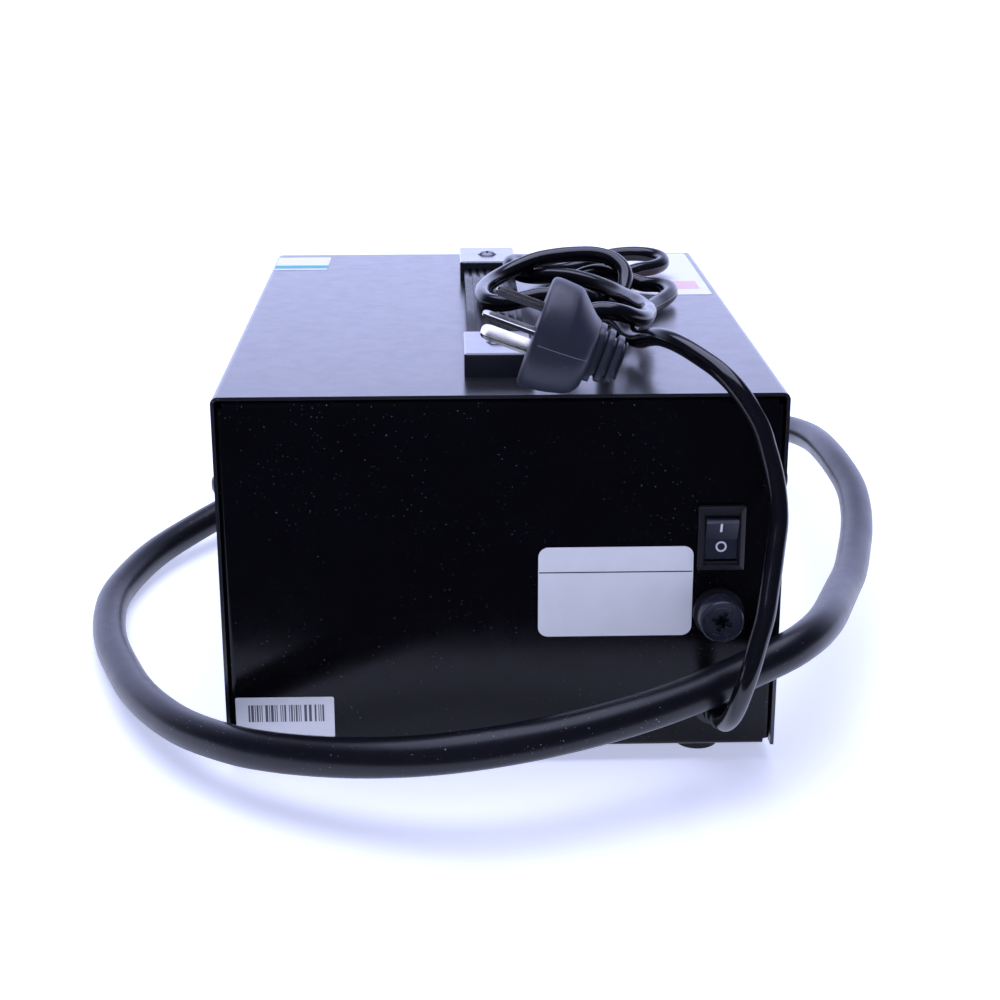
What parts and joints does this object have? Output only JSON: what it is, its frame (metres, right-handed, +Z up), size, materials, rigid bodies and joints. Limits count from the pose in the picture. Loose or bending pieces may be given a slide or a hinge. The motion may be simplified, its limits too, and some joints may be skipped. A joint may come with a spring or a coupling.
{
  "type": "hot air rework station",
  "caption": "Black bench case with a carrying strap, rear rocker switch and fuse, coiled mains lead, and an air hose to a hot air handpiece.",
  "frame": {"origin": "on the bench, in the middle of the four feet", "axes": "+Z up, -Y out of the front panel, +Y out of the rear panel, +X to the right as one faces the front panel"},
  "size_m": [0.3285, 0.4729, 0.1694],
  "materials": {
    "black_steel": "black powder coat, semi-gloss",
    "printed_sheet": "thin printed plastic sheet, satin",
    "dark_screw": "black zinc",
    "bright_screw": "bright zinc",
    "rubber": "moulded, matte",
    "strap_rubber": "moulded, satin, ribbed",
    "black_plastic": "moulded, satin",
    "rocker_plastic": "moulded, glossy, with white marks",
    "fuse_glass": "clear glass with bright end caps",
    "cord_rubber": "smooth, slightly glossy",
    "plug_plastic": "moulded on the lead, matte",
    "pin_metal": "nickel plated",
    "smoked_window": "smoked red, polished",
    "board": "green solder mask",
    "red_key": "moulded, satin",
    "blue_key": "moulded, satin",
    "knob_plastic": "moulded, fluted, with a white line",
    "zinc": "plain",
    "hose_rubber": "smooth silicone, slightly glossy",
    "grip_plastic": "moulded, finely grained",
    "grey_metal": "cast and sprayed grey",
    "tube_steel": "stainless, brushed",
    "ceramic": "unglazed ceramic",
    "lamination": "stacked laminations, varnished",
    "winding_tape": "yellow tape",
    "copper_tape": "varnished winding",
    "brass_spacer": "turned, plain",
    "heatsink": "extruded, plain",
    "part_plastic": "moulded component bodies",
    "pump_plastic": "moulded, glass filled",
    "arm_steel": "dark grey, pressed",
    "clear_tube": "translucent silicone"
  },
  "bodies": {
    "station": {"chassis": "black_steel", "front_panel": "black_steel", "front_overlay": "printed_sheet", "top_cover": "black_steel", "cover_screws": "dark_screw", "feet": "rubber", "foot_clips": "bright_screw", "handle_cap_rear": "black_plastic", "handle_cap_front": "black_plastic", "handle_strap": "strap_rubber", "handle_screws": "dark_screw", "handle_nuts": "bright_screw", "power_switch_body": "black_plastic", "fuse_holder": "black_plastic", "fuse_holder_nut": "black_plastic", "cord_gland": "cord_rubber", "mains_cord": "cord_rubber", "cord_coil": "cord_rubber", "cord_tail": "cord_rubber", "plug_body": "plug_plastic", "plug_pins": "pin_metal", "display_window": "smoked_window", "display_module": "black_plastic", "control_pcb": "board", "airflow_pot": "zinc", "pot_nut": "bright_screw", "hose_outlet": "black_plastic", "hose_nut": "black_plastic", "hose_boot": "rubber", "air_hose": "hose_rubber", "transformer_core": "lamination", "transformer_coil": "winding_tape", "main_pcb": "board", "pcb_standoffs": "brass_spacer", "triac_heatsink": "heatsink", "board_parts": "part_plastic", "pump_base": "pump_plastic", "pump_core": "lamination", "pump_coil": "copper_tape", "pump_diaphragms": "rubber", "pump_mounts": "rubber", "air_tube": "clear_tube"},
    "power_rocker": {"power_rocker": "rocker_plastic"},
    "fuse_carrier": {"fuse": "fuse_glass"},
    "fuse_cap": {"fuse_cap": "black_plastic"},
    "airflow_knob": {"airflow_knob": "knob_plastic", "pot_shaft": "bright_screw"},
    "temp_up_button": {"temp_up_button": "red_key"},
    "temp_down_button": {"temp_down_button": "blue_key"},
    "pump_arm_left": {"pump_arm_left": "arm_steel"},
    "pump_arm_right": {"pump_arm_right": "arm_steel"},
    "handpiece": {"grip_upper": "grip_plastic", "grip_lower": "grip_plastic", "grip_screws": "dark_screw", "vent_ring": "grey_metal", "heater_tube": "tube_steel", "heater_core": "ceramic", "tube_grille": "tube_steel", "tool_hose_boot": "rubber"}
  },
  "joints": [
    {"name": "power_rocker_tilt", "type": "hinge", "parent": "station", "child": "power_rocker", "pos_m": [-0.0725, 0.1233, 0.082], "axis": [1, 0, 0], "range_deg": [0, 22]},
    {"name": "fuse_draw", "type": "slide", "parent": "station", "child": "fuse_carrier", "axis": [0, 1, 0], "range_m": [0, 0.024]},
    {"name": "fuse_cap_turn", "type": "hinge", "parent": "fuse_carrier", "child": "fuse_cap", "pos_m": [-0.0725, 0.13, 0.0555], "axis": [0, 1, 0], "range_deg": [0, 90]},
    {"name": "airflow_knob_turn", "type": "hinge", "parent": "station", "child": "airflow_knob", "pos_m": [0.05, -0.13, 0.044], "axis": [0, 1, 0], "range_deg": [0, 270]},
    {"name": "temp_up_press", "type": "slide", "parent": "station", "child": "temp_up_button", "axis": [0, 1, 0], "range_m": [0, 0.0008], "stiffness_N_per_m": 1200},
    {"name": "temp_down_press", "type": "slide", "parent": "station", "child": "temp_down_button", "axis": [0, 1, 0], "range_m": [0, 0.0008], "stiffness_N_per_m": 1200},
    {"name": "pump_arm_left_swing", "type": "hinge", "parent": "station", "child": "pump_arm_left", "pos_m": [0.0005, 0.013, 0.043], "axis": [0, 0, 1], "range_deg": [-1.2, 1.2], "stiffness_Nm_per_rad": 2},
    {"name": "pump_arm_right_swing", "type": "hinge", "parent": "station", "child": "pump_arm_right", "pos_m": [0.0545, 0.013, 0.043], "axis": [0, 0, -1], "range_deg": [-1.2, 1.2], "stiffness_Nm_per_rad": 2},
    {"name": "handpiece_lift", "type": "slide", "parent": "station", "child": "handpiece", "axis": [0, 0, 1], "range_m": [0, 0.06]}
  ],
  "couplings": [
    {"joint": "pump_arm_left_swing", "follows": "pump_arm_right_swing", "ratio": 1}
  ]
}
